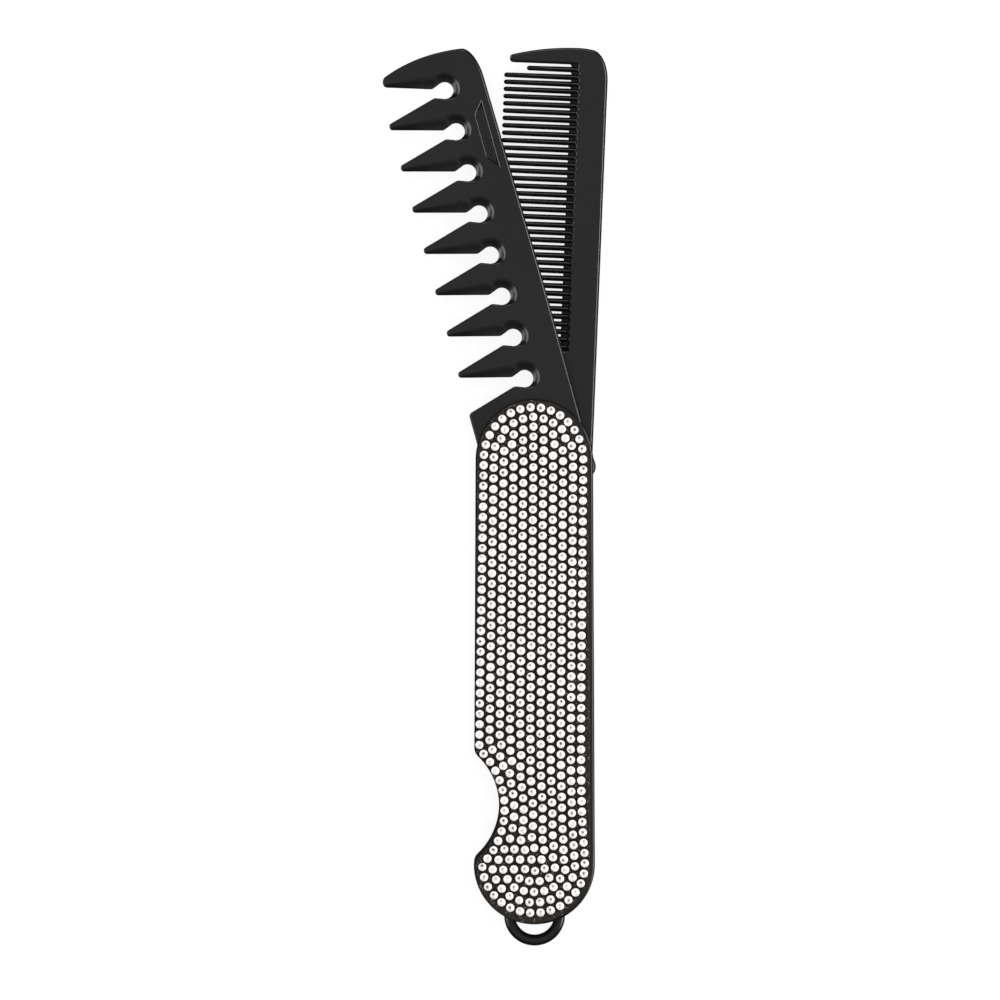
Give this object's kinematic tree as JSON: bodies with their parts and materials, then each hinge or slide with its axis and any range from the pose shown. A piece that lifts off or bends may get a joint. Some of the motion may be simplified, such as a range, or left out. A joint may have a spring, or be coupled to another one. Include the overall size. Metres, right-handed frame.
{
  "type": "folding comb",
  "caption": "Folding pocket comb with a wide-toothed and a fine-toothed blade, a stone-covered case, a finger notch and a hanging ring.",
  "frame": {"origin": "foot of the pin's axis on the flat back face that the comb lies on", "axes": "+Z out of the stone-covered front, +Y along the case towards the blades' tips, +X towards the case's closed side"},
  "size_m": [0.0538, 0.216, 0.0146],
  "materials": {
    "case_plastic": "satin gloss",
    "blade_plastic": "fine matt",
    "stones": "cut and foiled",
    "pin_steel": "plain"
  },
  "bodies": {
    "case": {"back_shell": "case_plastic", "front_shell": "case_plastic", "stone_panel": "stones", "hanging_ring": "case_plastic", "pivot_pin": "pin_steel"},
    "wide_blade": {"wide_comb": "blade_plastic"},
    "fine_blade": {"fine_comb": "blade_plastic"}
  },
  "joints": [
    {"name": "wide_blade_fold", "type": "hinge", "parent": "case", "child": "wide_blade", "pos_m": [0, 0, 0.00855], "axis": [0, 0, 1], "range_deg": [-17.8, 164.5]},
    {"name": "fine_blade_fold", "type": "hinge", "parent": "case", "child": "fine_blade", "pos_m": [0, 0, 0.0043], "axis": [0, 0, 1], "range_deg": [0, 182.3]}
  ]
}
